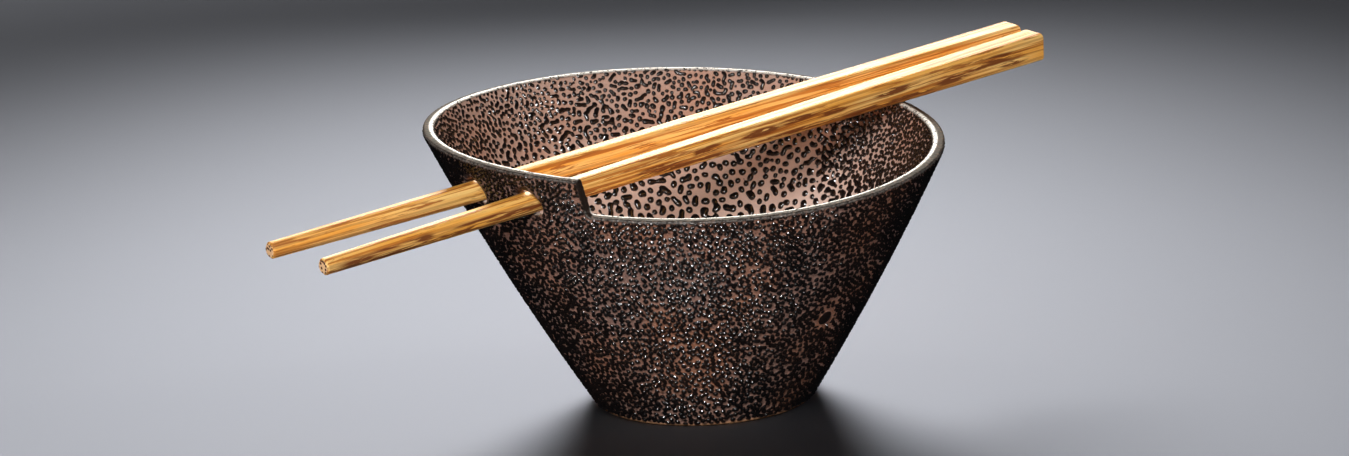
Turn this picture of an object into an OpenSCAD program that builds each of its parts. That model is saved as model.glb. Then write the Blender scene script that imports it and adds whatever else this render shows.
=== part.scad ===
// Rice bowl with a spiral rim and a pair of chopsticks that rest in it.
// Frame: origin at the centre of the foot's underside, +Z up,
// +X the way the chopsticks are drawn out, from their tips to their handles.

/* [Bowl] */
// Outer radius of the foot
foot_r = 28; // [24:0.5:34]
// Outward run of the wall for each millimetre of height, at the foot
wall_slope = 0.625; // [0.5:0.005:0.75]
// How fast the wall steepens as it rises
wall_curve = 0.00105; // [0:0.00005:0.002]
// Width of the wall at the rim, measured level
rim_w = 2.6; // [2:0.1:4]
// Width of the wall at the floor, measured level
base_w = 4.4; // [3:0.1:6]
// Height of the inside floor above the table
floor_z = 8; // [6:0.5:12]
// Radius of the curve between the inside floor and the wall
floor_curve_r = 14; // [8:1:18]

/* [Foot] */
// Width of the foot ring
foot_ring_w = 5; // [3:0.5:8]
// Depth of the hollow inside the foot ring
foot_hollow = 3; // [1.5:0.5:4]
// Chamfer along the outer edge of the foot
foot_chamfer = 0.5; // [0.2:0.1:1]

/* [Rim] */
// Height of the rim at the low side of its step
rim_start_z = 63.7; // [58:0.1:68]
// Height of the step, where one turn of the rim ends above its start
step_h = 10; // [6:0.5:14]
// Direction of the step, seen from above
step_angle = -153.4; // [-180:0.1:180]
// Lean of the rim towards the step
rim_lean = 1.57; // [0:0.01:3]
// Lean of the rim square to the step
rim_tilt = 3.15; // [0:0.01:5]
// Dip after the step and swell before it
rim_wave = 0.8; // [0:0.05:1.5]

/* [Chopsticks] */
// Length of each chopstick
stick_l = 240; // [220:1:250]
// Diameter of the round tip
tip_d = 4.2; // [3.8:0.1:4.4]
// Width of the square handle
handle_w = 7.6; // [7:0.1:7.8]
// Radius of the handle's long edges
handle_edge_r = 1.3; // [0.8:0.1:1.8]
// Chamfer at both ends
end_chamfer = 0.5; // [0.2:0.1:0.8]
// Length of the tip that stands out of the hole
tip_out = 62; // [50:1:63]
// Angle between each chopstick and the direction of travel
splay = 1.72; // [1.5:0.01:1.75]
// Roll of each chopstick, so that it lies flat on the sloping rim
stick_roll = 4; // [0:0.5:6]

/* [Chopstick holes] */
// Diameter of the two holes in the wall
hole_d = 7.4; // [7.3:0.1:8]
// Distance between the chopsticks at the holes
hole_gap = 19.2; // [18.8:0.1:20]
// Sideways place of the pair's middle
pair_y = -3; // [-3.4:0.1:-2.6]
// Distance of the chopsticks from the axis of the bowl at the holes
hole_x = 63.5; // [63.3:0.1:63.7]
// Height of the front chopstick at its hole
front_z = 65.6; // [65.6:0.1:66]
// Height of the back chopstick at its hole
back_z = 66; // [66:0.1:66.4]
// Rise of the front chopstick towards its handle
front_rise = 3.2; // [3.2:0.01:3.4]
// Rise of the back chopstick towards its handle
back_rise = 3.46; // [3.46:0.01:3.7]
// How far each hole is centred outside its chopstick
hole_outset = 0.6; // [0.55:0.05:0.7]
// How far each hole is centred above its chopstick
hole_lift = 0.1; // [0:0.05:0.2]

/* [Hidden] */
$fn = 96;
FRONT = -1;
BACK = 1;
WALL_STEPS = 12;      // straight stretches along each side of the wall
CURVE_STEPS = 6;      // stretches in the floor's curve
RIM_SECTORS = 72;     // sectors in one turn of the rim
WALL_TOP_Z = 84;      // above the highest point of the rim
CUT_TOP_Z = 90;
CUT_IN_R = 40;        // the rim cutter is a ring from here
CUT_OUT_R = 90;       // to here
HULL_FN = 32;
HOLE_REACH = 9;       // half the length of each hole's drill
SLIVER = 0.01;        // thickness of the slices that a chopstick is stretched over

// Outer radius of the wall at height z
function wall_r(z) = foot_r + wall_slope * z - wall_curve * z * z;

// Level width of the wall at height z
function wall_w(z) = base_w + (rim_w - base_w) * (z - floor_z) / (WALL_TOP_Z - floor_z);

// Inner radius of the wall at height z
function inner_r(z) = wall_r(z) - wall_w(z);

// Height of the rim after the share t of one turn from its step
function rim_z(t) = rim_start_z + step_h * t + rim_lean * (1 - cos(360 * t))
    - rim_tilt * sin(360 * t) - rim_wave * sin(720 * t) * pow(cos(180 * t), 2);

// The floor's curve: a cosine ease from flat at floor_r0 to the wall at floor_z1
floor_r0 = inner_r(floor_z) - floor_curve_r;
floor_z1 = floor_z + floor_curve_r * 0.45;
function floor_point(t) = [
    floor_r0 + (inner_r(floor_z1) - floor_r0) * sin(90 * t),
    floor_z + (floor_z1 - floor_z) * (1 - cos(90 * t))
];

// A point of the rim cutter: sector i, radius r, at the rim or at the cutter's top
function cut_point(i, r, top) =
    let (t = i / RIM_SECTORS, a = step_angle + 360 * t)
    [r * cos(a), r * sin(a), top ? CUT_TOP_Z : rim_z(t)];

// Half of the profile of the bowl's wall, floor and foot
module bowl_profile() {
    outer = [for (i = [0:WALL_STEPS])
        let (z = foot_chamfer + (WALL_TOP_Z - foot_chamfer) * i / WALL_STEPS)
        [wall_r(z), z]];
    inner = [for (i = [WALL_STEPS:-1:1])
        let (z = floor_z1 + (WALL_TOP_Z - floor_z1) * i / WALL_STEPS)
        [inner_r(z), z]];
    curve = [for (i = [CURVE_STEPS:-1:0]) floor_point(i / CURVE_STEPS)];
    polygon(concat(
        [[foot_r - foot_chamfer, 0]], outer, inner, curve, [
            [0, floor_z],
            [0, foot_hollow],
            [foot_r - foot_ring_w - foot_hollow / 2, foot_hollow],
            [foot_r - foot_ring_w, 0]
        ]));
}

// Everything above the rim, as a ring whose underside climbs one turn and drops at the step
module above_rim() {
    n = RIM_SECTORS;
    points = concat(
        [for (i = [0:n]) cut_point(i, CUT_IN_R, false)],
        [for (i = [0:n]) cut_point(i, CUT_OUT_R, false)],
        [for (i = [0:n - 1]) cut_point(i, CUT_IN_R, true)],
        [for (i = [0:n - 1]) cut_point(i, CUT_OUT_R, true)]);
    // index of the first outer point, the first inner top point and the first outer top point
    lo = n + 1;
    ti = 2 * n + 2;
    to = 3 * n + 2;
    function next(i) = (i + 1) % n;
    under = [for (i = [0:n - 1], f = [[i, lo + i, lo + i + 1], [i, lo + i + 1, i + 1]]) f];
    over = [for (i = [0:n - 1]) [ti + i, ti + next(i), to + next(i), to + i]];
    inside = [for (i = [1:n - 1]) [i, i + 1, ti + next(i), ti + i]];
    outside = [for (i = [1:n - 1]) [lo + i + 1, lo + i, to + i, to + next(i)]];
    // the step, and the two side faces beside it, which share its edges
    step = [
        [0, n, lo + n, lo],
        [0, 1, ti + 1, ti, n],
        [lo + 1, lo, lo + n, to, to + 1]
    ];
    polyhedron(points, concat(under, over, inside, outside, step));
}

// Places its children on a chopstick's own axis, with the origin where it crosses the wall
module at_hole(side) {
    z = side == FRONT ? front_z : back_z;
    rise = side == FRONT ? front_rise : back_rise;
    translate([-hole_x, pair_y + side * hole_gap / 2, z])
        rotate([0, -rise, -side * splay])
            children();
}

// The drill for one hole: it points the way the chopstick is drawn out
module hole_drill(side) {
    z = side == FRONT ? front_z : back_z;
    rise = side == FRONT ? front_rise : back_rise;
    translate([-hole_x, pair_y + side * (hole_gap / 2 + hole_outset), z + hole_lift])
        rotate([0, 90 - rise, 0])
            cylinder(d = hole_d, h = 2 * HOLE_REACH, center = true);
}

module bowl() {
    color([0.17, 0.13, 0.12])
        difference() {
            rotate_extrude() bowl_profile();
            above_rim();
            hole_drill(FRONT);
            hole_drill(BACK);
        }
}

// A thin slice square to the chopstick: w wide, with rounded corners, at x along it
module slice(x, w, edge_r) {
    translate([x, 0, 0])
        rotate([90, 0, 90])
            linear_extrude(SLIVER)
                offset(r = edge_r, $fn = HULL_FN)
                    square(max(w - 2 * edge_r, SLIVER), center = true);
}

// A chopstick lying along +X from its tip: round at the tip, square at the handle
module chopstick() {
    color([0.84, 0.62, 0.35])
        hull() {
            slice(0, tip_d - 2 * end_chamfer, tip_d / 2 - end_chamfer);
            slice(end_chamfer, tip_d, tip_d / 2);
            slice(stick_l - end_chamfer, handle_w, handle_edge_r);
            slice(stick_l - SLIVER, handle_w - 2 * end_chamfer, handle_edge_r);
        }
}

module placed_chopstick(side) {
    at_hole(side)
        rotate([stick_roll, 0, 0])
            translate([-tip_out, 0, 0])
                chopstick();
}

module front_chopstick() {
    placed_chopstick(FRONT);
}

module back_chopstick() {
    placed_chopstick(BACK);
}

bowl();
front_chopstick();
back_chopstick();
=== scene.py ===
"""Looks of a beaded-glaze rice bowl and its two bamboo chopsticks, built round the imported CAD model.

Lengths are in millimetres until a mesh, light or camera is made, in the frame of the CAD model.
"""

import math

import bmesh
import bpy
import numpy as np
from mathutils import Matrix, Vector


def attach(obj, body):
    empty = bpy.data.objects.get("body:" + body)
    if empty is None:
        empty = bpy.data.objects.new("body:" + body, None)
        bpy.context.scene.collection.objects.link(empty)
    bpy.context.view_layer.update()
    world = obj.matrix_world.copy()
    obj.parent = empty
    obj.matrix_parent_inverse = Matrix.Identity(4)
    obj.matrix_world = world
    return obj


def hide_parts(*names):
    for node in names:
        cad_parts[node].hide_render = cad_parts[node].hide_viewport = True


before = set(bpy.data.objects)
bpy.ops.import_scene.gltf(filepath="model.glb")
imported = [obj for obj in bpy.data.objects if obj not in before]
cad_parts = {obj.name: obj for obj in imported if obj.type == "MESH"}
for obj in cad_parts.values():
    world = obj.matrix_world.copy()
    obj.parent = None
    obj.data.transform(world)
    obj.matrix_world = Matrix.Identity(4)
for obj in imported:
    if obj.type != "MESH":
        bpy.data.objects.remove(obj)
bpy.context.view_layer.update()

MM = 0.001

# ---------------------------------------------------------------- the bowl's shape, as in the CAD
FOOT_R = 28.0
WALL_SLOPE = 0.625
WALL_CURVE = 0.00105
RIM_W = 2.6
BASE_W = 4.4
FLOOR_Z = 8.0
WALL_TOP_Z = 84.0
FOOT_RING_R = 23.0
FOOT_HOLLOW = 3.0
HOLLOW_LEAN = 0.894    # from a level distance to one square to the hollow's sloping side
RIM_START_Z = 63.7
STEP_H = 10.0
STEP_ANGLE = math.radians(-153.4)
RIM_LEAN = 1.57
RIM_TILT = 3.15
RIM_WAVE = 0.8

# softened edges
FLOOR_ROUND = 16.0
FOOT_ROUND = 0.6
HOLLOW_ROUND = 1.2
LIP_ROUND = 0.55
LIP_FALL = 0.12        # the lip's top falls outwards by this share of its width
STEP_ROUND = 0.6
STEP_FILLET = 0.7
HOLE_ROUND = 0.6

# ---------------------------------------------------------------- the chopsticks, as in the CAD
STICK_L = 240.0
TIP_R = 2.1
HANDLE_R = 3.8
HANDLE_EDGE = 1.3
END_CHAMFER = 0.5
TIP_OUT = 62.0
SPLAY = math.radians(1.72)
STICK_ROLL = math.radians(4)
HOLE_R = 3.7
HOLE_X = -63.5
PAIR_Y = -3.0
HOLE_GAP = 19.2
HOLE_OUTSET = 0.6
HOLE_LIFT = 0.1
HOLE_REACH = 9.0
HOLE_NEAR = 15.0       # no point further below a hole than this can lie in it
FAR_OUTSIDE = -50.0
FRONT, BACK = -1, 1
HOLE_Z = {FRONT: 65.6, BACK: 66.0}
RISE = {FRONT: math.radians(3.2), BACK: math.radians(3.46)}


def wall_r(z):
    """Outer radius of the wall at height z."""
    return FOOT_R + WALL_SLOPE * z - WALL_CURVE * z * z


def inner_r(z):
    """Inner radius of the wall at height z."""
    return wall_r(z) - BASE_W - (RIM_W - BASE_W) * (z - FLOOR_Z) / (WALL_TOP_Z - FLOOR_Z)


def rim_z(t):
    """Height of the rim after the share t of one turn from its step."""
    a = 2 * np.pi * t
    wave = RIM_WAVE * np.sin(2 * a) * np.cos(a / 2) ** 2
    return RIM_START_Z + STEP_H * t + RIM_LEAN * (1 - np.cos(a)) - RIM_TILT * np.sin(a) - wave


def turn_from_step(x, y):
    """Share of a turn from the step, from -0.5 to 0.5: positive on the rim's low side."""
    t = (np.arctan2(y, x) - STEP_ANGLE) / (2 * np.pi)
    return (t + 0.5) % 1.0 - 0.5


def ease(low, high, x):
    """0 up to low, 1 from high, and smooth between them."""
    t = np.clip((x - low) / (high - low), 0, 1)
    return t * t * (3 - 2 * t)


def round_and(a, b, radius):
    """Signed distance to what two solids share, with the edge between them rounded."""
    corner = np.hypot(np.maximum(radius + a, 0), np.maximum(radius + b, 0))
    return np.minimum(-radius, np.maximum(a, b)) + corner


def round_or(a, b, radius):
    """Signed distance to two solids together, with a fillet between them."""
    return -round_and(-a, -b, radius)


def hole_depth(p):
    """How far each point lies inside the nearer chopstick hole's drill: 0 at the drill's surface."""
    depth = np.full(len(p), FAR_OUTSIDE)
    near = np.flatnonzero((p[:, 0] < HOLE_X + HOLE_REACH) & (p[:, 2] > HOLE_Z[FRONT] - HOLE_NEAR))
    for side in (FRONT, BACK):
        start = np.array([HOLE_X, PAIR_Y + side * (HOLE_GAP / 2 + HOLE_OUTSET), HOLE_Z[side] + HOLE_LIFT])
        axis = np.array([math.cos(RISE[side]), 0, math.sin(RISE[side])])
        from_start = p[near] - start
        away = np.linalg.norm(from_start - (from_start @ axis)[:, None] * axis, axis=1)
        depth[near] = np.maximum(depth[near], HOLE_R - away)
    return depth


def bowl_parts(p):
    """Signed distances to the surfaces that bound the bowl, each positive outside the clay."""
    x, y, z = p.T
    r = np.hypot(x, y)
    lean = 1 / np.sqrt(1 + (WALL_SLOPE - 2 * WALL_CURVE * z) ** 2)
    outside = (r - wall_r(z)) * lean
    cavity = -round_and(FLOOR_Z - z, (r - inner_r(z)) * lean, FLOOR_ROUND)
    hollow = -round_and(z - FOOT_HOLLOW, (r - FOOT_RING_R + z / 2) * HOLLOW_LEAN, HOLLOW_ROUND)
    turn = turn_from_step(x, y)
    low = z - rim_z(turn) + LIP_FALL * (r - inner_r(z))
    step = round_and(low - STEP_H, turn * 2 * np.pi * r, STEP_ROUND)
    above = round_or(low, step, STEP_FILLET)
    return outside, cavity, hollow, above, hole_depth(p)


def bowl_field(p):
    """Signed distance to the bowl's surface, near it: negative in the clay."""
    outside, cavity, hollow, above, drilled = bowl_parts(p)
    shell = np.maximum(round_and(outside, -p[:, 2], FOOT_ROUND), cavity)
    solid = round_and(shell, above, LIP_ROUND)
    solid = round_and(solid, hollow, FOOT_ROUND)
    return round_and(solid, drilled, HOLE_ROUND)


# ---------------------------------------------------------------- from a shape to a mesh
def surface_net(field, low, high, step):
    """Points and quads of the surface where field is 0, with one point in each grid cell it crosses."""
    count = [int((b - a) / step) + 2 for a, b in zip(low, high)]
    axes = [a + step * np.arange(n) for a, n in zip(low, count)]
    side = np.stack(np.meshgrid(axes[1], axes[2], indexing="ij"), -1).reshape(-1, 2)
    value = np.empty(count)
    for i, x in enumerate(axes[0]):
        slab = np.column_stack([np.full(len(side), x), side])
        value[i] = field(slab).reshape(count[1:])
    quads, crossings = [], []
    for axis in range(3):
        ahead = np.roll(value, -1, axis)
        at = np.argwhere((value < 0) != (ahead < 0))
        here, there = value[tuple(at.T)], ahead[tuple(at.T)]
        crossing = at.astype(float)
        crossing[:, axis] += here / (here - there)
        ring = []
        for back_b, back_c in ((0, 0), (1, 0), (1, 1), (0, 1)):
            cell = at.copy()
            cell[:, (axis + 1) % 3] -= back_b
            cell[:, (axis + 2) % 3] -= back_c
            ring.append(np.ravel_multi_index(cell.T, count))
        ring = np.stack(ring, 1)
        ring[here >= 0] = ring[here >= 0][:, ::-1]
        quads.append(ring)
        crossings.append(np.repeat(crossing, 4, axis=0))
    quads, crossings = np.concatenate(quads), np.concatenate(crossings)
    cells, index = np.unique(quads, return_inverse=True)
    index = index.reshape(-1)
    total = np.bincount(index)
    points = np.stack([np.bincount(index, crossings[:, k]) / total for k in range(3)], 1)
    return np.array(low) + step * points, index.reshape(-1, 4)


def split_quads(points, quads):
    """Each quad as four."""
    ends = np.sort(np.stack([quads, np.roll(quads, -1, 1)], -1).reshape(-1, 2), axis=1)
    edges, index = np.unique(ends[:, 0] * len(points) + ends[:, 1], return_inverse=True)
    middles = (points[edges // len(points)] + points[edges % len(points)]) / 2
    centres = points[quads].mean(1)
    edge = len(points) + index.reshape(-1, 4)
    centre = len(points) + len(edges) + np.arange(len(quads))
    corners = [np.stack([quads[:, i], edge[:, i], centre, edge[:, i - 1]], 1) for i in range(4)]
    return np.concatenate([points, middles, centres]), np.stack(corners, 1).reshape(-1, 4)


def settle(field, points, rounds):
    """Moves points onto the surface where field is 0."""
    reach = 0.01
    for _ in range(rounds):
        here = field(points)
        slope = np.stack([(field(points + reach * e) - here) / reach for e in np.eye(3)], 1)
        points = points - here[:, None] * slope / (slope**2).sum(1, keepdims=True)
    return points


# ---------------------------------------------------------------- the glaze's beads
PATTERN_TOP_Z = 81.0   # above the rim's highest point
BEAD_COLUMNS = 2048
ROWS_PER_BEAD = 5.5
ROW_STEPS = 3000
BEAD_ROUNDS = 14
BEAD_CORE = 0.16       # blur of what draws the glaze together, as a share of the beads' spacing
BEAD_REACH = 0.27      # blur of what holds the beads apart
BEAD_SMOOTH = 0.8      # last blur, as a share of BEAD_CORE
BEAD_CONTRAST = 1.5
BIAS_VARIES = 0.06     # how far the glaze's cover varies from patch to patch
BIAS_REACH = 1.3       # size of those patches, as a share of the beads' spacing
BAND_VARIES = 0.07     # faint bands round the wall, from throwing it on the wheel
BAND_REACH = 0.7
BEAD_TOP = 0.985       # this share of the pattern lies below a bead's top


def bead_rows(z_low, z_high, radius, spacing):
    """Heights of rows that lie an even share of the beads' spacing apart along the wall's slant."""
    z = np.linspace(z_low, z_high, ROW_STEPS)
    run = np.hypot(np.diff(z), np.diff(radius(z))) / spacing(z[:-1]) * ROWS_PER_BEAD
    length = np.concatenate([[0], np.cumsum(run)])
    return np.interp(np.arange(0, length[-1]), length, z)


def blur(image, around, share):
    """Gaussian blur by a share of the beads' spacing. around is that spacing in radians, row by row."""
    across = np.arange(image.shape[1] // 2 + 1)
    fade = np.exp(-0.5 * (across[None, :] * around[:, None] * share) ** 2)
    image = np.fft.irfft(np.fft.rfft(image, axis=1) * fade, image.shape[1], axis=1)
    along = np.arange(image.shape[0] // 2 + 1) / image.shape[0]
    fade = np.exp(-0.5 * (2 * np.pi * along * share * ROWS_PER_BEAD) ** 2)
    return np.fft.irfft(np.fft.rfft(image, axis=0) * fade[:, None], image.shape[0], axis=0)


def bead_pattern(around, bias, noise, seed):
    """Glaze drawn up into beads: high in a bead's middle, low on the clay between beads.

    noise is the beads' random unevenness, as a share of what draws them together.
    """
    random = np.random.default_rng(seed)
    image = random.standard_normal((len(around), BEAD_COLUMNS))
    uneven = blur(random.standard_normal(image.shape), around, BIAS_REACH)
    uneven *= BIAS_VARIES / uneven.std(axis=1, keepdims=True)
    bands = blur(random.standard_normal((len(around), 1)), around, BAND_REACH)
    uneven = uneven + bands * BAND_VARIES / bands.std()
    speckle = blur(random.standard_normal(image.shape), around, BEAD_CORE)
    speckle *= noise / speckle.std(axis=1, keepdims=True)
    for _ in range(BEAD_ROUNDS):
        image = blur(image, around, BEAD_CORE) - blur(image, around, BEAD_REACH)
        image /= image.std(axis=1, keepdims=True)
        image = np.tanh(BEAD_CONTRAST * (image + speckle) + bias + uneven)
    return blur(image, around, BEAD_CORE * BEAD_SMOOTH)


def look_up(image, row, turn):
    """The image at fractional rows and shares of a turn."""
    row = np.clip(row, 0, len(image) - 1.001)
    column = (turn % 1.0) * image.shape[1]
    r0, c0 = row.astype(int), column.astype(int) % image.shape[1]
    fr, fc = row - r0, column - np.floor(column)
    c1 = (c0 + 1) % image.shape[1]
    top = image[r0, c0] * (1 - fc) + image[r0, c1] * fc
    bottom = image[r0 + 1, c0] * (1 - fc) + image[r0 + 1, c1] * fc
    return top * (1 - fr) + bottom * fr


def beads(turn, z, z_low, radius, spacing, bias, cover, noise, seed):
    """How far each point's glaze stands over the clay's edge: below 0 on clay, 1 at a bead's top.

    cover is the share of the wall under glaze, and bias says how much the beads join up.
    """
    heights = bead_rows(z_low, PATTERN_TOP_Z, radius, spacing)
    image = bead_pattern(spacing(heights) / radius(heights), bias, noise, seed)
    edge = np.quantile(image, 1 - cover)
    top = np.quantile(image, BEAD_TOP)
    pattern = look_up(image, np.interp(z, heights, np.arange(len(heights))), turn)
    return (pattern - edge) / (top - edge)


def outer_spacing(z):
    """Distance between beads on the outer wall at height z."""
    return np.interp(z, [0, 30, 60, 72], [1.45, 1.4, 1.25, 1.05])


def inner_spacing(z):
    """Distance between beads on the inner wall: large beads low down, fine ones under the rim."""
    return np.interp(z, [8, 34, 45, 60, 70], [2.8, 2.7, 2.4, 1.95, 1.5])


def fine_spacing(z):
    """Distance between beads on the part of the inner wall where they are finest."""
    return np.interp(z, [8, 45, 70], [2.7, 1.6, 1.15])


CURVE_Z = 16.0         # top of the curve between the inside floor and the wall
CURVE_R = inner_r(CURVE_Z)
FLOOR_SHARE = 4.0      # millimetres across the floor for each millimetre of the beads' place


def inner_place(r, z):
    """The height by which the inner wall's beads are placed. It goes on across the floor, to its centre."""
    on_wall = (r > CURVE_R) | (z > CURVE_Z + 2)
    return np.where(on_wall, z, CURVE_Z - (CURVE_R - r) / FLOOR_SHARE)


def inner_place_r(place):
    """Radius of the inner surface at each such place."""
    on_floor = np.maximum(CURVE_R - (CURVE_Z - place) * FLOOR_SHARE, 1.0)
    return np.where(place > CURVE_Z, inner_r(place), on_floor)


def drop(pattern):
    """A bead's height from 0 at its edge to 1 at its top, round like a drop."""
    rise = np.clip(pattern, 0, 1)
    return np.sqrt(rise * (2 - rise))


# ---------------------------------------------------------------- meshes for Blender
def new_mesh(name, points, faces, **attributes):
    """A smooth mesh object from points in millimetres and faces that all have as many corners."""
    mesh = bpy.data.meshes.new(name)
    mesh.vertices.add(len(points))
    mesh.vertices.foreach_set("co", (np.asarray(points) * MM).astype(np.float32).ravel())
    corners = faces.shape[1]
    mesh.loops.add(faces.size)
    mesh.loops.foreach_set("vertex_index", faces.astype(np.int32).ravel())
    mesh.polygons.add(len(faces))
    mesh.polygons.foreach_set("loop_start", np.arange(0, faces.size, corners, dtype=np.int32))
    mesh.update(calc_edges=True)
    for key, values in attributes.items():
        values = np.asarray(values, np.float32)
        kind, field = ("FLOAT", "value") if values.ndim == 1 else ("FLOAT_VECTOR", "vector")
        mesh.attributes.new(key, kind, "POINT").data.foreach_set(field, values.ravel())
    mesh.shade_smooth()
    obj = bpy.data.objects.new(name, mesh)
    bpy.context.scene.collection.objects.link(obj)
    return obj


def vertex_normals(points, quads):
    """Unit normals of a quad mesh's points."""
    across = np.cross(points[quads[:, 2]] - points[quads[:, 0]], points[quads[:, 3]] - points[quads[:, 1]])
    sums = [np.bincount(quads.ravel(), np.repeat(across[:, k], 4), len(points)) for k in range(3)]
    normals = np.stack(sums, 1)
    return normals / np.linalg.norm(normals, axis=1, keepdims=True)


def part_of(name, points, quads, normals, chosen, **attributes):
    """The chosen quads as an object of their own, shaded as if the mesh went on past its border."""
    used, index = np.unique(quads[chosen], return_inverse=True)
    own = {key: values[used] for key, values in attributes.items()}
    obj = new_mesh(name, points[used], index.reshape(-1, 4), **own)
    obj.data.normals_split_custom_set_from_vertices(normals[used].tolist())
    return obj


# ---------------------------------------------------------------- the bowl
NET_STEP = 0.62        # each quad is split in four after this
NET_LOW = (-71, -66, -1.5)    # the box in which the surface is sought
NET_HIGH = (69, 72, 79)
BEAD_RISE_OUT = 0.6
BEAD_RISE_IN = 0.55
CLAY_SINK = 0.2        # clay lies this far inside the CAD surface, so that the beads straddle it
LIP_CALM = 0.92        # how far the beads are smoothed away on the lip
OUT_LOWEST = -4        # the outer wall's pattern begins here, below the foot
IN_MARGIN = 0.2        # the inner wall's begins this far below the lowest of its places

# one larger drop of glaze with clay bared round it, right of the step
SPOT_TURN = 0.191
SPOT_Z = 28.2
SPOT_R = 2.1
SPOT_SLANT = 1.15      # millimetres along the wall for each one of height there
SPOT_RISE = 1.3        # more than 1, so that the drop is flat on top
BARED_DEPTH = 0.9      # how far the pattern is lowered round it
BARED_FROM = 1.1       # up to this many times its radius, and less and less from there
BARED_TO = 1.9         # to here

# the part of the inner wall with the finest beads
FINE_TURN = 0.32             # its middle
FINE_HALF = (0.10, 0.17)     # shares of a turn from there, where it starts to fade and where it ends
FINE_Z = (38, 52)            # heights where it begins and where it is whole

# where each mark begins and where it is whole, in millimetres from a surface and below 0 in the clay
LIP_BAND = (-0.9, -0.25)
EDGE_TOP = (-0.7, -0.15)
EDGE_INNER = (-1.0, -0.5)
EDGE_OUTER = (-0.3, -0.05)
EDGE_OUTER_SHARE = 0.2   # how much of the inner edge's line the outer edge has
HOLE_BAND = (-2.2, -0.4)
HOLE_LIP_SHARE = 0.35    # how much of the lip's look a hole's edge has
HOLLOW_BAND = (-1.2, -0.5)
CUT_BAND = (0.3, 1.2)    # distances from the step's cut face where it starts to fade and where it ends
CUT_RISE = (0.8, 2.0)    # above the rim's low end

# faces past these belong to the foot and lip pieces
FOOT_FACE_Z = 0.35
HOLLOW_FACE = -0.25
LIP_FACE = -0.9
HOLE_FACE = -0.3

# the bare line of clay round the foot, with a slightly wavy top
BARE_Z = (0.5, 1.1)    # heights where it starts to fade and where it ends
BARE_WAVE = 0.15
BARE_WAVES = 40        # radians of wave in one turn

points, quads = surface_net(bowl_field, NET_LOW, NET_HIGH, NET_STEP)
points = settle(bowl_field, points, 2)
points, quads = split_quads(points, quads)
points = settle(bowl_field, points, 1)
normals = vertex_normals(points, quads)

outside, cavity, hollow, above, drilled = bowl_parts(points)
turn = turn_from_step(points[:, 0], points[:, 1])
height = points[:, 2]
is_outer = outside > cavity
lip = ease(*LIP_BAND, above)
from_axis = np.hypot(points[:, 0], points[:, 1])
from_step = turn * 2 * np.pi * from_axis
cut_face = (1 - ease(*CUT_BAND, np.abs(from_step))) * ease(*CUT_RISE, height - rim_z(0))
# a cream line along the lip's inner edge and faintly its outer one: partly glaze worn thin at the rim,
# partly a painted highlight
worn_and_highlit_edge = np.maximum(ease(*EDGE_INNER, cavity), EDGE_OUTER_SHARE * ease(*EDGE_OUTER, outside))
worn_and_highlit_edge *= ease(*EDGE_TOP, above) * (1 - cut_face)
hole_edge = ease(*HOLE_BAND, drilled)
foot_line = 1 - ease(*BARE_Z, height + BARE_WAVE * np.sin(turn * BARE_WAVES))
bare = np.maximum(foot_line, ease(*HOLLOW_BAND, hollow))

out_beads = beads(
    turn, height, OUT_LOWEST, wall_r, outer_spacing, bias=-1.35, cover=0.61, noise=0.15, seed=11
)
across_spot = (turn - SPOT_TURN) * 2 * np.pi * wall_r(SPOT_Z)
from_spot = np.hypot(across_spot, (height - SPOT_Z) * SPOT_SLANT)
out_beads -= BARED_DEPTH * (1 - ease(SPOT_R * BARED_FROM, SPOT_R * BARED_TO, from_spot))
out_beads = np.maximum(out_beads, SPOT_RISE * (1 - (from_spot / SPOT_R) ** 2))
place = inner_place(from_axis, height)
lowest = place.min() - IN_MARGIN
in_beads = beads(
    turn, place, lowest, inner_place_r, inner_spacing, bias=-1.1, cover=0.47, noise=0.28, seed=5
)
fine_beads = beads(
    turn, place, lowest, inner_place_r, fine_spacing, bias=-1.2, cover=0.63, noise=0.2, seed=6
)
fine = (1 - ease(*FINE_HALF, np.abs(turn - FINE_TURN))) * ease(*FINE_Z, height)
in_beads += (fine_beads - in_beads) * fine
glaze = np.where(is_outer, out_beads, in_beads)
bead = drop(glaze) * np.where(is_outer, BEAD_RISE_OUT, BEAD_RISE_IN)
calm = (1 - LIP_CALM * lip) * (1 - hole_edge) * (1 - bare)
lip = np.maximum(lip, HOLE_LIP_SHARE * hole_edge)
points = points + normals * ((bead - CLAY_SINK) * calm)[:, None]
normals = vertex_normals(points, quads)

marks = {
    "glaze": glaze,
    "lip": lip,
    "cut_face": cut_face,
    "worn_and_highlit_edge": worn_and_highlit_edge,
    "inside": 1.0 - is_outer,
    "bare": bare,
}
outer_face = is_outer[quads].mean(1) > 0.5
under_face = (height[quads].mean(1) < FOOT_FACE_Z) | (hollow[quads].mean(1) > HOLLOW_FACE)
lip_face = (above[quads].mean(1) > LIP_FACE) | (drilled[quads].mean(1) > HOLE_FACE)
regions = {
    "bowl_foot": under_face,
    "bowl_lip": lip_face & ~under_face,
    "bowl_outer_wall": outer_face & ~lip_face & ~under_face,
    "bowl_inner_wall": ~outer_face & ~lip_face & ~under_face,
}
bowl_pieces = [part_of(name, points, quads, normals, chosen, **marks) for name, chosen in regions.items()]

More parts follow.
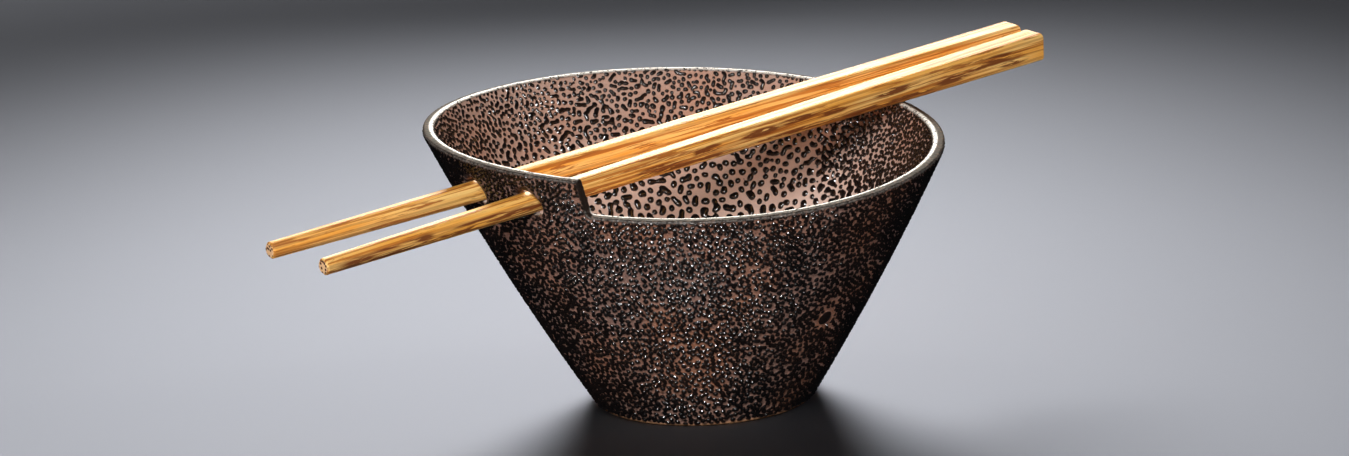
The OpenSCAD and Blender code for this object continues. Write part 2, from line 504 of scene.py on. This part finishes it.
# ---------------------------------------------------------------- chopsticks
ARC_POINTS = 9         # points round each corner of a section
FLAT_POINTS = 8        # points between two corners
END_SECTIONS = (0, 0, 0.15, END_CHAMFER)    # distances of each end's sections from that end
FIRST_SECTION = 1.2    # the other sections begin this far from the tip
LAST_SECTION = 1.0     # and stop at least this far from the handle's end
SECTION_STEP = 0.8     # distance between those
END_FACE = 0.1         # points this near an end show the bamboo's cut end
SAME_POINT = 1e-7      # points this close are joined, in metres
SHARP_EDGE = math.radians(40)
GRAIN_APART = (150, 11.3, 0)    # sets the two chopsticks' grain apart
MARK_ENDS = 2          # how sharply a mark fades along the chopstick
MARK_SIDES = 1.6       # and across it
MARK_SIDE_Y = 0.5 * TIP_R    # marks lie below this, on the chopstick's -y side
# darker marks on the front chopstick's outer side, the long low ones partly painted shade: distance from
# the tip, height, length, width, strength
FRONT_MARKS_AND_SHADE = [
    (9, -0.6, 12, 2.0, 0.5),
    (20, -1.1, 26, 0.8, 0.8),
    (22, 0.5, 18, 0.6, 0.6),
    (29, -0.1, 6, 2.2, 0.5),
    (42, -0.9, 22, 0.7, 0.75),
    (46, 0.4, 18, 0.6, 0.6),
    (58, -0.4, 16, 1.0, 0.7),
    (103, -0.6, 13, 1.5, 0.9),
    (119, 0.5, 8, 1.4, 1.0),
    (137, 0.7, 11, 1.4, 0.95),
    (150, 1.2, 12, 1.0, 0.8),
    (162, 0.2, 10, 1.0, 0.8),
    (184, 0.8, 11, 1.3, 0.9),
    (205, -1.2, 12, 1.2, 0.7),
    (222, 1.0, 12, 1.5, 0.7),
    (228, -1.5, 10, 1.2, 0.7),
    # long marks low on the side, darker towards its lower edge: partly streaks in the bamboo, partly
    # painted shade
    (112, -1.5, 34, 0.8, 0.65),
    (148, -1.7, 36, 0.8, 0.6),
    (182, -1.9, 40, 0.9, 0.65),
    (215, -0.2, 30, 0.8, 0.6),
]


def outline():
    """One turn round a section: the corner centre's share, and the direction from it."""
    centre, direction = [], []
    for k in range(4):
        a0 = math.pi / 2 * k
        diagonal = a0 + math.pi / 4
        corner = np.array([math.copysign(1, math.cos(diagonal)), math.copysign(1, math.sin(diagonal))])
        for a in np.linspace(a0, a0 + math.pi / 2, ARC_POINTS):
            centre.append(corner)
            direction.append([math.cos(a), math.sin(a)])
        ahead = np.array([-corner[1], corner[0]])
        for share in np.linspace(0, 1, FLAT_POINTS + 2)[1:-1]:
            centre.append(corner * (1 - share) + ahead * share)
            direction.append([math.cos(a0 + math.pi / 2), math.sin(a0 + math.pi / 2)])
    return np.array(centre), np.array(direction)


def marked(local, marks):
    """How far each of a chopstick's points lies in one of the marks on its outer side, from 0 to 1."""
    x, y, z = local.T
    mark = np.zeros(len(local))
    for at, up, length, width, strength in marks:
        along = (x - at) / length * MARK_ENDS
        across = (z - up) / width * MARK_SIDES
        mark = np.maximum(mark, strength * np.exp(-(along**2) - across**2) * (y < MARK_SIDE_Y))
    return mark


def chopstick(name, side, marks):
    """A chopstick lofted along its own x axis, then laid in its hole."""
    centre, direction = outline()
    around = len(centre)
    ends = np.array(END_SECTIONS)
    between = np.arange(FIRST_SECTION, STICK_L - LAST_SECTION, SECTION_STEP)
    xs = np.concatenate([ends, between, STICK_L - ends[::-1]])
    from_end = np.minimum(xs, STICK_L - xs)
    shrink = np.interp(from_end, [0, END_CHAMFER], [END_CHAMFER, 0])
    shrink[[0, -1]] = HANDLE_R    # the first and last sections close each end in a point
    share = xs / STICK_L
    half = TIP_R + (HANDLE_R - TIP_R) * share
    edge = TIP_R + (HANDLE_EDGE - TIP_R) * share
    local = []
    for x, h, e, s in zip(xs, half, edge, shrink):
        e = max(min(e, h - s), 0)
        flat = max(h - s - e, 0)
        section = centre * flat + direction * e
        local.append(np.column_stack([np.full(around, x), section]))
    local = np.concatenate(local)
    rings = np.arange(len(xs) - 1)[:, None] * around
    k = np.arange(around)[None, :]
    a, b = rings + k, rings + (k + 1) % around
    faces = np.stack([a, a + around, b + around, b], -1).reshape(-1, 4)[:, ::-1]
    placed = Matrix.Translation((HOLE_X, PAIR_Y + side * HOLE_GAP / 2, HOLE_Z[side]))
    placed = placed @ Matrix.Rotation(-side * SPLAY, 4, "Z") @ Matrix.Rotation(-RISE[side], 4, "Y")
    placed = np.array(placed @ Matrix.Rotation(STICK_ROLL, 4, "X") @ Matrix.Translation((-TIP_OUT, 0, 0)))
    world = local @ placed[:3, :3].T + placed[:3, 3]
    own_grain = local + side * np.array(GRAIN_APART)
    end = (np.abs(local[:, 0] - STICK_L / 2) > STICK_L / 2 - END_FACE).astype(float)
    obj = new_mesh(name, world, faces, grain=own_grain, mark=marked(local, marks), end=end)
    shape = bmesh.new()
    shape.from_mesh(obj.data)
    bmesh.ops.remove_doubles(shape, verts=shape.verts, dist=SAME_POINT)
    shape.to_mesh(obj.data)
    shape.free()
    obj.data.set_sharp_from_angle(angle=SHARP_EDGE)
    return obj


front_stick = chopstick("front_chopstick_bamboo", FRONT, FRONT_MARKS_AND_SHADE)
back_stick = chopstick("back_chopstick_bamboo", BACK, [])


# ---------------------------------------------------------------- materials
# the outside clay is about half as bright as the inside clay: partly its redder colour, partly painted
# shade on the outer wall, which faces down
CLAY_OUTSIDE_SHADED = (0.26, 0.13, 0.093, 1)
CLAY_OUTSIDE_RED_SHADED = (0.36, 0.13, 0.058, 1)
CLAY_INSIDE = (0.47, 0.30, 0.235, 1)
CLAY_INSIDE_RED = (0.46, 0.24, 0.16, 1)
# painted light: the much lighter clay low inside the bowl stands in for light that the lamps don't bring
# there
CLAY_LOW_INSIDE_LIT = (0.90, 0.68, 0.58, 1)
CLAY_GRAIN = (0.62, 0.48, 0.42, 1)
CLAY_LIP = (0.15, 0.095, 0.07, 1)
CLAY_BARE = (0.52, 0.27, 0.14, 1)
GLAZE_BLACK = (0.004, 0.003, 0.003, 1)
GLAZE_BROWN = (0.014, 0.007, 0.005, 1)
GLAZE_LIP = (0.022, 0.014, 0.011, 1)
# cream on the lip's edges: partly glaze worn thin, partly a painted highlight
GLAZE_WORN_AND_HIGHLIT = (0.95, 0.89, 0.80, 1)
BAMBOO_GOLD = (0.93, 0.43, 0.07, 1)
BAMBOO_PALE = (1.0, 0.64, 0.21, 1)
BAMBOO_FIBRE = (0.68, 0.25, 0.03, 1)
BAMBOO_LINE = (0.50, 0.15, 0.015, 1)
BAMBOO_STREAK = (0.36, 0.095, 0.012, 1)
BAMBOO_BUNDLE = (0.36, 0.10, 0.016, 1)
BAMBOO_MARK_AND_SHADE = (0.19, 0.045, 0.008, 1)
BAMBOO_END = (0.95, 0.58, 0.30, 1)
BAMBOO_END_DOT = (0.10, 0.025, 0.008, 1)
FLOOR_GREY = (0.39, 0.40, 0.44)


class Nodes:
    """Builds a material's nodes with short calls."""

    def __init__(self, name):
        self.material = bpy.data.materials.new(name)
        self.material.use_nodes = True
        self.tree = self.material.node_tree
        self.shader = self.tree.nodes["Principled BSDF"]

    def put(self, socket, value):
        """Links another node's output to the socket, or sets the socket's own value."""
        if isinstance(value, bpy.types.NodeSocket):
            self.tree.links.new(value, socket)
        else:
            socket.default_value = value

    def add(self, kind, inputs=(), **settings):
        """A new node, with its inputs by name or number and its settings."""
        node = self.tree.nodes.new("ShaderNode" + kind)
        for key, value in settings.items():
            setattr(node, key, value)
        for key, value in dict(inputs).items():
            self.put(node.inputs[key], value)
        return node

    def attribute(self, name, output="Fac"):
        """The mesh attribute of that name."""
        return self.add("Attribute", attribute_name=name).outputs[output]

    def math(self, operation, a, b=0.0):
        """One step of arithmetic on numbers or outputs."""
        return self.add("Math", {0: a, 1: b}, operation=operation).outputs[0]

    def range(self, value, low, high, to_low=0.0, to_high=1.0):
        """The value mapped from low..high to to_low..to_high, and held there outside."""
        inputs = {"Value": value, "From Min": low, "From Max": high, "To Min": to_low, "To Max": to_high}
        return self.add("MapRange", inputs).outputs[0]

    def mix(self, share, a, b):
        """Colour a where share is 0, b where it is 1, and a blend between."""
        inputs = {0: share, 6: a, 7: b}
        return self.add("Mix", inputs, data_type="RGBA").outputs[2]

    def stretch(self, vector, along, across):
        """The vector scaled along x, and otherwise across it."""
        return self.add("Mapping", {"Vector": vector, "Scale": (along, across, across)}).outputs[0]

    def noise(self, vector, scale, detail=3.0, roughness=0.5, distortion=0.0):
        """Smooth random values, mostly from 0.3 to 0.7."""
        inputs = {"Vector": vector, "Scale": scale, "Detail": detail, "Roughness": roughness}
        inputs["Distortion"] = distortion
        return self.add("TexNoise", inputs).outputs["Fac"]


def glaze_material():
    """Near-black glossy beads on red-brown clay. Along the lip's inner edge the glaze is worn to cream, and
    that cream line is partly a painted highlight.

    Noise scales are waves in each metre.
    """
    n = Nodes("beaded_glaze")
    where = n.add("TexCoord").outputs["Object"]
    lip = n.attribute("lip")
    inside = n.attribute("inside")
    bare = n.attribute("bare")
    patches = n.noise(where, 55.0, 3)
    spots = n.noise(where, 1300.0, 2, 0.6)
    grain = n.noise(where, 2600.0, 2)
    mask = n.range(n.attribute("glaze"), -0.03, 0.05)
    lip_mask = n.math("MAXIMUM", n.range(spots, 0.36, 0.44), n.attribute("cut_face"))
    mask = n.add("Mix", {0: lip, 2: mask, 3: lip_mask}, data_type="FLOAT").outputs[0]
    # partly painted shade: the outside clay is darker than the inside clay
    shaded_clay_out = n.mix(n.range(patches, 0.42, 0.66), CLAY_OUTSIDE_SHADED, CLAY_OUTSIDE_RED_SHADED)
    clay_in = n.mix(n.range(patches, 0.42, 0.66), CLAY_INSIDE, CLAY_INSIDE_RED)
    # painted light: the inside clay turns lighter towards the bottom, from 60 mm high down to 35 mm and
    # below
    painted_light_low_down = n.range(n.add("SeparateXYZ", {0: where}).outputs[2], 0.060, 0.035)
    clay_in = n.mix(painted_light_low_down, clay_in, CLAY_LOW_INSIDE_LIT)
    clay = n.mix(inside, shaded_clay_out, clay_in)
    clay = n.mix(n.range(grain, 0.35, 0.65, 0, 0.3), clay, CLAY_GRAIN)
    clay = n.mix(lip, clay, CLAY_LIP)
    dark = n.mix(n.range(patches, 0.35, 0.7), GLAZE_BLACK, GLAZE_BROWN)
    dark = n.mix(lip, dark, GLAZE_LIP)
    colour = n.mix(mask, clay, dark)
    # cream along the lip's edges: partly glaze worn thin, partly a painted highlight line
    cream_wear_and_highlight = n.math("MULTIPLY", n.attribute("worn_and_highlit_edge"), n.range(spots, 0.64, 0.54))
    colour = n.mix(cream_wear_and_highlight, colour, GLAZE_WORN_AND_HIGHLIT)
    colour = n.mix(bare, colour, CLAY_BARE)
    n.put(n.shader.inputs["Base Color"], colour)
    glossy = n.math("MULTIPLY", mask, n.math("SUBTRACT", 1.0, bare))
    n.put(n.shader.inputs["Roughness"], n.range(glossy, 0, 1, 0.8, 0.35))
    n.put(n.shader.inputs["Specular IOR Level"], 0.05)
    n.put(n.shader.inputs["Coat Weight"], n.math("MULTIPLY", glossy, n.range(lip, 0, 1, 1, 0.12)))
    n.put(n.shader.inputs["Coat Roughness"], 0.1)
    n.put(n.shader.inputs["Coat IOR"], 1.6)
    return n.material


def bamboo_material():
    """Golden bamboo: fibre bundles run its length, as dots on the ends and streaks on the sides.

    The grain attribute is in millimetres along and across each chopstick.
    """
    n = Nodes("bamboo")
    grain = n.attribute("grain", "Vector")
    fibre = n.noise(n.stretch(grain, 0.05, 3.2), 1.0, 2)
    tone = n.noise(n.stretch(grain, 0.03, 0.5), 1.0, 2)
    lines = n.noise(n.stretch(grain, 0.014, 1.2), 1.0, 2, 0.6, 0.2)
    streak = n.noise(n.stretch(grain, 0.055, 1.1), 1.0, 4, 0.65, 0.6)
    ticks = n.noise(n.stretch(grain, 0.12, 1.7), 1.0, 3, 0.6, 0.5)
    wander = n.add("TexNoise", {"Vector": n.stretch(grain, 0.02, 0.1), "Scale": 1.0}).outputs["Color"]
    axes = n.add("SeparateXYZ", {0: grain}).outputs
    section = n.add("CombineXYZ", {0: axes[1], 1: axes[2]}).outputs[0]
    wandering = {0: wander, 1: (1.5, 1.5, 0), 2: section}
    section = n.add("VectorMath", wandering, operation="MULTIPLY_ADD").outputs[0]
    cells = n.add("TexVoronoi", {"Vector": section, "Scale": 0.95}, voronoi_dimensions="2D")
    bundles = n.range(cells.outputs["Distance"], 0.38, 0.27)
    colour = n.mix(n.range(tone, 0.36, 0.62), BAMBOO_GOLD, BAMBOO_PALE)
    colour = n.mix(n.range(fibre, 0.45, 0.66, 0, 0.3), colour, BAMBOO_FIBRE)
    colour = n.mix(n.range(lines, 0.51, 0.57, 0, 0.85), colour, BAMBOO_LINE)
    colour = n.mix(n.range(streak, 0.54, 0.60, 0, 0.85), colour, BAMBOO_STREAK)
    colour = n.mix(n.math("MULTIPLY", bundles, 0.45), colour, BAMBOO_BUNDLE)
    # the marks, partly painted shade along the front chopstick's lower side
    ticked = n.math("MULTIPLY", n.attribute("mark"), n.range(ticks, 0.40, 0.50, 0.15, 1.0))
    colour = n.mix(n.range(ticked, 0.10, 0.34, 0, 0.95), colour, BAMBOO_MARK_AND_SHADE)
    cut = n.mix(bundles, BAMBOO_END, BAMBOO_END_DOT)
    colour = n.mix(n.attribute("end"), colour, cut)
    n.put(n.shader.inputs["Base Color"], colour)
    n.put(n.shader.inputs["Roughness"], n.range(fibre, 0.3, 0.7, 0.46, 0.6))
    n.put(n.shader.inputs["Specular IOR Level"], 0.22)
    bump = n.add("Bump", {"Height": n.math("ADD", fibre, lines), "Strength": 0.25, "Distance": 0.0001})
    n.put(n.shader.inputs["Normal"], bump.outputs[0])
    return n.material


def plain_material(name, colour, roughness):
    """One colour, for the floor."""
    n = Nodes(name)
    n.put(n.shader.inputs["Base Color"], (*colour, 1))
    n.put(n.shader.inputs["Roughness"], roughness)
    return n.material


glaze_look = glaze_material()
bamboo_look = bamboo_material()
for piece in bowl_pieces:
    piece.data.materials.append(glaze_look)
for piece in (front_stick, back_stick):
    piece.data.materials.append(bamboo_look)

# ---------------------------------------------------------------- what each piece rides on
for piece in bowl_pieces:
    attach(piece, "bowl")
    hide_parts("bowl")
for piece, body in ((front_stick, "front_chopstick"), (back_stick, "back_chopstick")):
    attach(piece, body)
    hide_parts(body)

# ---------------------------------------------------------------- floor
FLOOR_SIZE = 12.0
bpy.ops.mesh.primitive_plane_add(size=FLOOR_SIZE, location=(0, 0, 0))
floor = bpy.context.object
floor.name = "studio_floor"
floor.data.materials.append(plain_material("floor_paper", FLOOR_GREY, 0.8))


# ---------------------------------------------------------------- lights
def soft_light(name, place, target, size, power, spread=180, colour=(1, 1, 1)):
    """A square soft box at place, facing target, in metres and watts. It shines within spread degrees."""
    data = bpy.data.lights.new(name, "AREA")
    data.shape = "SQUARE"
    data.size = size
    data.energy = power
    data.spread = math.radians(spread)
    data.color = colour
    light = bpy.data.objects.new(name, data)
    light.location = place
    light.rotation_euler = (Vector(target) - Vector(place)).to_track_quat("-Z", "Y").to_euler()
    bpy.context.scene.collection.objects.link(light)
    return light


# the camera's place in metres, the direction in which it looks, its roll and its lens
CAMERA_PLACE = Vector((-0.65802, -0.82776, 0.30918))
VIEW = Vector((0.5995, 0.7629, -0.2421)).normalized()
LEVEL_RIGHT = VIEW.cross(Vector((0, 0, 1))).normalized()
LEVEL_UP = LEVEL_RIGHT.cross(VIEW)
CAMERA_ROLL = math.radians(-2.797)
FOCAL_MM = 112.57
SENSOR_MM = 36.0
CLIP_START = 0.01


def beside_view(right, away, up):
    """A point this many metres to the right of, beyond and above the bowl, as the camera sees it."""
    level = Vector((VIEW.x, VIEW.y, 0)).normalized()
    return LEVEL_RIGHT * right + level * away + Vector((0, 0, up))


def reach_only(light, receivers):
    """Lets the light fall on the receivers' collection and on nothing else."""
    light.light_linking.receiver_collection = receivers


def collection_of(name, objects):
    """A new collection that holds the objects, to link lights to."""
    collection = bpy.data.collections.new(name)
    for obj in objects:
        collection.objects.link(obj)
    return collection


MIDDLE = (0, 0, 0.05)
KEY_PLACE = beside_view(-0.01, 0.74, 0.45)
KEY_TARGET = beside_view(-0.08, -0.8, 0)
KEY_SIZE = 0.36
KEY_SPREAD = 70
WARM = (1, 0.95, 0.80)
FILL_PLACE = beside_view(-0.12, -1.1, 0.68)
GLINT_AWAY = -1.2
GLINTS = [(-0.75, 0.16), (-0.2, 0.12), (0.4, 0.2)]    # to the right, up
WASH_UP = 0.45
WASH_SIZE = 1.5
WASH_SPREAD = 120
# to the right, beyond, watts: the first lights the far floor in the photo's view, the others light
# floor outside it
WASHES = [
    (0, 1.6, 2.8),
    (-1.5, 0.8, 10),
    (1.5, 0.8, 10),
    (-1.35, -0.8, 11),
    (1.35, -0.8, 11),
    (0, -1.9, 11),
]

SKY_COLOUR = (0.8, 0.86, 1.0, 1)
SKY_STRENGTH = 0.012

object_only = collection_of("object_only", (*bowl_pieces, front_stick, back_stick))
shiny_only = collection_of("shiny_only", (front_stick, back_stick, bpy.data.objects["bowl_lip"]))
floor_only = collection_of("floor_only", [floor])

# the key shapes the light from behind; the sheen is its reflection, on the smooth pieces only
key = soft_light("key", KEY_PLACE, KEY_TARGET, KEY_SIZE, power=4.9, spread=KEY_SPREAD)
key.visible_glossy = False
sheen = soft_light("sheen", KEY_PLACE, KEY_TARGET, KEY_SIZE, power=2.4, spread=KEY_SPREAD, colour=WARM)
sheen.visible_diffuse = False
reach_only(sheen, shiny_only)
fill = soft_light("fill", FILL_PLACE, MIDDLE, size=0.35, power=14.5)
reach_only(fill, object_only)
for k, (right, up) in enumerate(GLINTS):
    glint = soft_light(f"glint_{k}", beside_view(right, GLINT_AWAY, up), MIDDLE, size=0.06, power=4.5)
    glint.visible_diffuse = False
    reach_only(glint, object_only)
for k, (right, away, power) in enumerate(WASHES):
    place = beside_view(right, away, WASH_UP)
    wash = soft_light(f"wash_{k}", place, beside_view(right, away, 0), WASH_SIZE, power, WASH_SPREAD)
    wash.visible_camera = False
    reach_only(wash, floor_only)
floor.visible_glossy = False
world = bpy.data.worlds.new("studio")
world.use_nodes = True
background = world.node_tree.nodes["Background"]
background.inputs["Color"].default_value = SKY_COLOUR
background.inputs["Strength"].default_value = SKY_STRENGTH
bpy.context.scene.world = world
bpy.context.scene.view_settings.view_transform = "Standard"

# ---------------------------------------------------------------- camera
right = LEVEL_RIGHT * math.cos(CAMERA_ROLL) + LEVEL_UP * math.sin(CAMERA_ROLL)
up = LEVEL_UP * math.cos(CAMERA_ROLL) - LEVEL_RIGHT * math.sin(CAMERA_ROLL)
turned = Matrix((right, up, -VIEW)).transposed().to_4x4()
lens = bpy.data.cameras.new("camera")
lens.sensor_width = SENSOR_MM
lens.sensor_fit = "HORIZONTAL"
lens.lens = FOCAL_MM
lens.clip_start = CLIP_START
camera = bpy.data.objects.new("camera", lens)
camera.matrix_world = Matrix.Translation(CAMERA_PLACE) @ turned
bpy.context.scene.collection.objects.link(camera)
bpy.context.scene.camera = camera

# ---------------------------------------------------------------- the scene brought up to date
bpy.context.view_layer.update()
